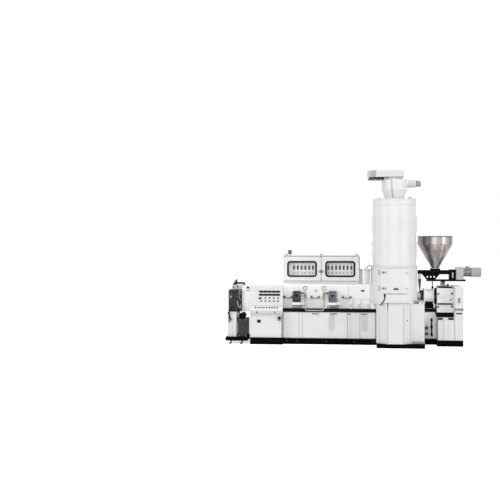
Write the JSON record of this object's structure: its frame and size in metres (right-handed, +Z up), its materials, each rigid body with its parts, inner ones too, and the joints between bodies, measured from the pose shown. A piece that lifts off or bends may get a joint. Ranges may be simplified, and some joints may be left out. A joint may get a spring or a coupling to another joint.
{
  "type": "plastics recycling extruder",
  "caption": "Fixed extruder line: barrel under hoods, drum feeder with hatch, side feeder, control cabinet and console, gearbox, screen changer on a stand.",
  "frame": {"origin": "on the floor, straight below the barrel's axis, on the underside of the base frame", "axes": "+X from the melt outlet to the drive, +Y from the operator's side to the back, +Z up"},
  "size_m": [5.717, 1.8102, 3.863],
  "materials": {
    "white_paint": "satin powder coat",
    "grey_paint": "satin",
    "pot_paint": "satin",
    "black_paint": "satin",
    "dark_steel": "blackened, machined faces",
    "pipe_steel": "brushed",
    "stainless": "brushed and reflective",
    "window_glass": "clear",
    "black_plastic": "moulded",
    "red_lens": "glossy"
  },
  "bodies": {
    "machine": {"alarm_beacon": "red_lens", "barrel_hood": "white_paint", "base_frame": "black_paint", "base_panels": "white_paint", "bench_housing": "white_paint", "cabinet_shell": "white_paint", "changer_terminals": "grey_paint", "console_body": "white_paint", "console_door": "white_paint", "console_instruments": "black_plastic", "controller_panel": "grey_paint", "cyclone": "white_paint", "die_hood": "white_paint", "drive_base": "white_paint", "drive_column": "white_paint", "drum_floor": "white_paint", "drum_lower": "white_paint", "drum_roof": "white_paint", "drum_upper": "white_paint", "exhaust_duct": "white_paint", "extruder_barrel": "dark_steel", "feed_hopper": "stainless", "feed_housing": "white_paint", "feeder_drive": "grey_paint", "feeder_frame": "black_paint", "feeder_screw": "pipe_steel", "feeder_spout": "dark_steel", "feeder_tube": "black_paint", "gearbox": "white_paint", "hood_handles": "black_plastic", "hydraulic_pillar": "white_paint", "machine_bed": "black_paint", "oil_tank": "black_paint", "screen_changer": "dark_steel", "stand_plate": "black_paint", "tower_base": "white_paint", "vacuum_line": "pipe_steel", "vacuum_pot": "pot_paint", "vent_ports": "dark_steel", "water_valves": "dark_steel"},
    "left_door": {"cabinet_door_left": "white_paint", "window_glass_left": "window_glass"},
    "right_door": {"cabinet_door_right": "white_paint", "window_glass_right": "window_glass"},
    "hatch": {"drum_hatch": "white_paint"}
  },
  "joints": [
    {"name": "left_door_hinge", "type": "hinge", "parent": "machine", "child": "left_door", "pos_m": [-1.6475, 0.2125, 1.6875], "axis": [0, 0, -1], "range_deg": [0, 110]},
    {"name": "right_door_hinge", "type": "hinge", "parent": "machine", "child": "right_door", "pos_m": [0.0855, 0.2125, 1.6875], "axis": [0, 0, 1], "range_deg": [0, 100]},
    {"name": "hatch_hinge", "type": "hinge", "parent": "machine", "child": "hatch", "pos_m": [0.51002, -1.00912, 1.45], "axis": [0, 0, -1], "range_deg": [0, 110]}
  ]
}
